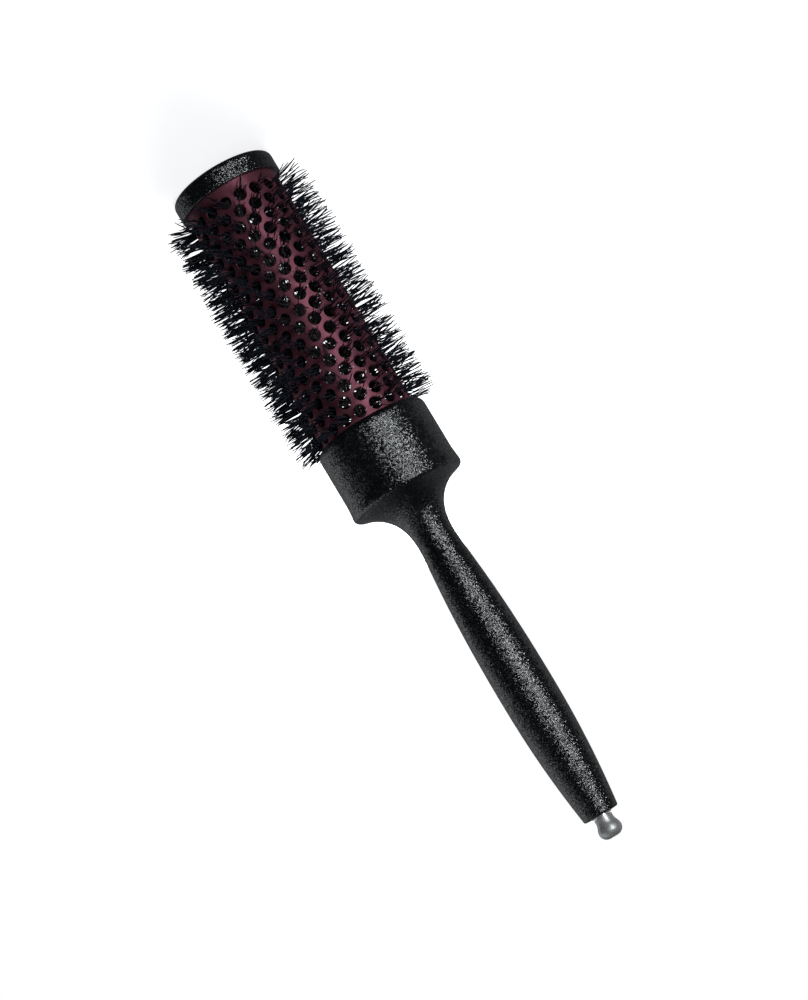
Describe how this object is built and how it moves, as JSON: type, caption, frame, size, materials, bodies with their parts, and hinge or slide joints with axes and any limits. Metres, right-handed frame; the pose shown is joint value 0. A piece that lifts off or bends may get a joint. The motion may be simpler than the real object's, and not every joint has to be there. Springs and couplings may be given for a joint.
{
  "type": "round barrel hair brush",
  "caption": "Round hair brush with a perforated metal barrel, nylon tufts, a textured collar and a soft handle that holds a pull-out sectioning pin.",
  "frame": {"origin": "centre of the flat face of the end cap, which the brush stands on", "axes": "+Z along the brush's axis from the end cap to the knob at the handle's end; +X and +Y across it, with a hole of the first ring on +X"},
  "size_m": [0.053, 0.053, 0.2558],
  "materials": {
    "red_anodised": "satin wine-red anodised metal",
    "cap_plastic": "fine spark-eroded texture, matt",
    "disc_plastic": "smooth satin",
    "core_steel": "galvanised drawn wire",
    "ferrule_alloy": "plain crimped tube",
    "collar_plastic": "fine spark-eroded texture, matt",
    "core_plastic": "plain moulded",
    "grip_rubber": "soft-touch, fine texture, satin",
    "sleeve_steel": "polished rim",
    "ring_rubber": "plain",
    "pin_steel": "drawn and polished",
    "knob_steel": "satin turned metal",
    "bristle_nylon": "tufts of thin black nylon filaments"
  },
  "bodies": {
    "brush": {"barrel_tube": "red_anodised", "end_cap": "cap_plastic", "cap_disc": "disc_plastic", "core_wire_a": "core_steel", "core_wire_b": "core_steel", "cap_ferrule": "ferrule_alloy", "handle_ferrule": "ferrule_alloy", "collar_ring": "collar_plastic", "handle_core": "core_plastic", "grip": "grip_rubber", "pin_sleeve": "sleeve_steel", "bristle_row_01": "bristle_nylon", "bristle_row_02": "bristle_nylon", "bristle_row_03": "bristle_nylon", "bristle_row_04": "bristle_nylon", "bristle_row_05": "bristle_nylon", "bristle_row_06": "bristle_nylon", "bristle_row_07": "bristle_nylon", "bristle_row_08": "bristle_nylon", "bristle_row_09": "bristle_nylon", "bristle_row_10": "bristle_nylon", "bristle_row_11": "bristle_nylon", "bristle_row_12": "bristle_nylon", "bristle_row_13": "bristle_nylon", "bristle_row_14": "bristle_nylon", "bristle_row_15": "bristle_nylon", "bristle_row_16": "bristle_nylon", "bristle_row_17": "bristle_nylon", "bristle_row_18": "bristle_nylon"},
    "pin_ring": {"friction_ring": "ring_rubber"},
    "pin": {"pin_shaft": "pin_steel", "pin_knob": "knob_steel"}
  },
  "joints": [
    {"name": "pin_slide", "type": "slide", "parent": "brush", "child": "pin_ring", "axis": [0, 0, 1], "range_m": [0, 0.08]},
    {"name": "pin_turn", "type": "hinge", "parent": "pin_ring", "child": "pin", "pos_m": [0, 0, 0.24], "axis": [0, 0, 1], "continuous": true}
  ]
}
